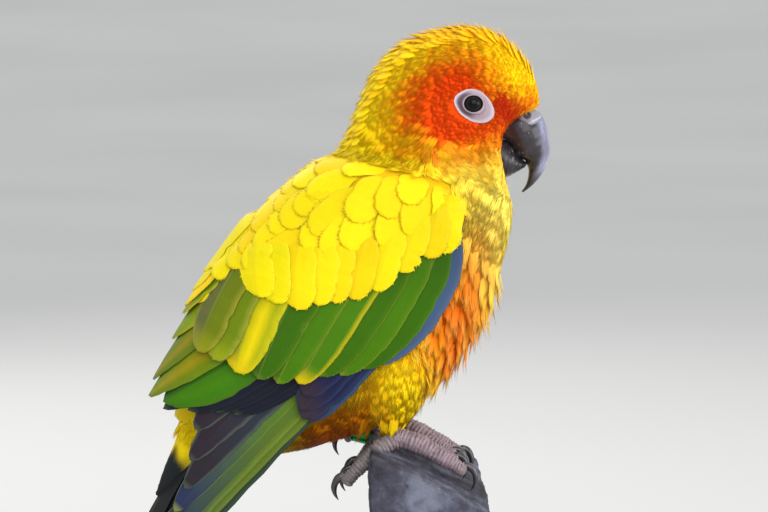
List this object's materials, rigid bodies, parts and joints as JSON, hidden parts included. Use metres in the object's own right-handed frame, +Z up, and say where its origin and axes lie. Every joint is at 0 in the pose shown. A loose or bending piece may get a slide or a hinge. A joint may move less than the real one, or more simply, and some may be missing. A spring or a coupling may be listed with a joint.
{
  "type": "perched sun conure model",
  "caption": "Life-size still model of a sun conure gripping a short wooden perch, on a plain round display stand.",
  "frame": {"origin": "centre of the underside of the stand's round base", "axes": "+Z up, +X the way the bird faces, +Y towards the bird's left side, so -Y is the side the picture shows"},
  "size_m": [0.1775, 0.124, 0.2241],
  "materials": {
    "feathers_body": "soft contour feathers, yellow to orange",
    "feathers_wing": "overlapping vanes, yellow coverts, green and dark blue flight feathers",
    "feathers_tail": "long graduated vanes, olive and dark blue",
    "horn": "dark grey bill with a low shine",
    "cere": "bare matt skin round the nostrils",
    "bare_skin": "bare pale ring round the eye",
    "eye": "wet dark eye",
    "scales": "scaly grey-pink toes",
    "claws": "black claws",
    "band": "green anodised metal, plain",
    "perch_wood": "weathered grey wood, cut ends",
    "stand_rods": "satin round bar",
    "stand_base": "dark stained wood disc"
  },
  "bodies": {
    "root": {"head": "feathers_body", "neck": "feathers_body", "torso": "feathers_body", "rump": "feathers_body", "thigh_right": "feathers_body", "thigh_left": "feathers_body", "wing_right": "feathers_wing", "wing_left": "feathers_wing", "tail": "feathers_tail", "cere": "cere", "bill_upper": "horn", "bill_lower": "horn", "eye_right": "eye", "eye_left": "eye", "eyelids_right": "bare_skin", "eyelids_left": "bare_skin", "shank_right": "scales", "shank_left": "scales", "foot_right": "scales", "foot_left": "scales", "leg_band": "band", "perch": "perch_wood", "stand_rod_1": "stand_rods", "stand_rod_2": "stand_rods", "stand_base": "stand_base", "claw_right_outer_front": "claws", "claw_right_inner_front": "claws", "claw_right_outer_back": "claws", "claw_right_inner_back": "claws", "claw_left_outer_front": "claws", "claw_left_inner_front": "claws", "claw_left_outer_back": "claws", "claw_left_inner_back": "claws"}
  },
  "joints": []
}
